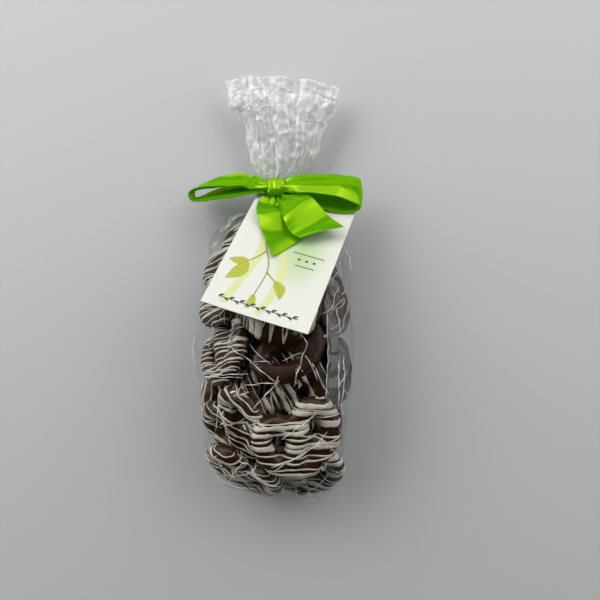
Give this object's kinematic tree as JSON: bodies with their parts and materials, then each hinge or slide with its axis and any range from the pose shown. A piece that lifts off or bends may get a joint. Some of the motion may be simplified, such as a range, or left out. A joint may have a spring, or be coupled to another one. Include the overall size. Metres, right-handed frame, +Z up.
{
  "type": "bag of chocolate covered pretzels",
  "caption": "Clear film gift bag filled with drizzled chocolate covered pretzels, lying on its back, its gathered neck tied with a satin ribbon bow that holds a card tag.",
  "frame": {"origin": "on the table, under the middle of the whole object's bounding box", "axes": "+Y from the bag's closed end to its open fanned top, +Z up from the table to the shown side, +X across the bag"},
  "size_m": [0.0892, 0.2156, 0.067],
  "materials": {
    "drizzled_chocolate": "satin",
    "clear_film": "gloss",
    "card": "matte",
    "satin_ribbon": "satin"
  },
  "bodies": {
    "root": {"filled_bag": "drizzled_chocolate", "film_top": "clear_film", "tag": "card", "ribbon_band": "satin_ribbon", "bow_knot": "satin_ribbon", "bow_loop_left": "satin_ribbon", "bow_loop_right": "satin_ribbon", "bow_tail_left": "satin_ribbon", "bow_tail_right": "satin_ribbon"}
  },
  "joints": []
}
